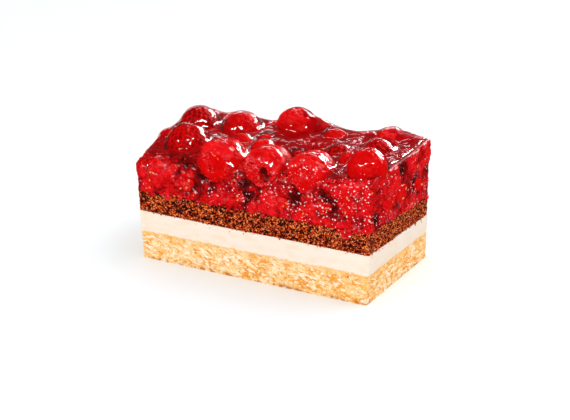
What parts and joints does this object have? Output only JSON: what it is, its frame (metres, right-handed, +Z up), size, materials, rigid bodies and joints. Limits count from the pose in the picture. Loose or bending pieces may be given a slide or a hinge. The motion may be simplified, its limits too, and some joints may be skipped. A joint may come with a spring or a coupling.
{
  "type": "raspberry cream slice",
  "caption": "Oblong cake slice: pale cake base, cream filling, chocolate sponge and raspberries set in red jelly on top.",
  "frame": {"origin": "under the middle of the slice, on the surface that it stands on", "axes": "+X along the long cut face towards the end that the picture shows, +Y from the shown long face to the back, +Z up"},
  "size_m": [0.1046, 0.0501, 0.0563],
  "materials": {
    "base_crumb": "baked pale crumb, dry and open",
    "cream": "smooth set cream, soft sheen",
    "chocolate_crumb": "baked chocolate crumb, dry and open",
    "jelly": "clear set fruit jelly, wet gloss",
    "raspberry": "ripe fruit under a thin clear glaze"
  },
  "bodies": {
    "root": {"base_cake": "base_crumb", "cream_filling": "cream", "chocolate_sponge": "chocolate_crumb", "raspberry_jelly": "jelly", "raspberry_01": "raspberry", "raspberry_02": "raspberry", "raspberry_03": "raspberry", "raspberry_04": "raspberry", "raspberry_05": "raspberry", "raspberry_06": "raspberry", "raspberry_07": "raspberry", "raspberry_08": "raspberry", "raspberry_09": "raspberry", "raspberry_10": "raspberry", "raspberry_11": "raspberry", "raspberry_12": "raspberry", "raspberry_13": "raspberry", "raspberry_14": "raspberry", "raspberry_15": "raspberry", "raspberry_16": "raspberry", "raspberry_17": "raspberry", "raspberry_18": "raspberry", "raspberry_19": "raspberry", "raspberry_20": "raspberry", "raspberry_21": "raspberry", "raspberry_22": "raspberry", "raspberry_23": "raspberry", "raspberry_24": "raspberry", "raspberry_25": "raspberry", "raspberry_26": "raspberry", "raspberry_27": "raspberry", "raspberry_28": "raspberry", "raspberry_29": "raspberry", "raspberry_30": "raspberry", "raspberry_31": "raspberry", "raspberry_32": "raspberry", "raspberry_33": "raspberry", "raspberry_34": "raspberry", "raspberry_35": "raspberry", "raspberry_36": "raspberry", "raspberry_37": "raspberry", "raspberry_38": "raspberry", "raspberry_39": "raspberry", "raspberry_40": "raspberry", "raspberry_41": "raspberry"}
  },
  "joints": []
}
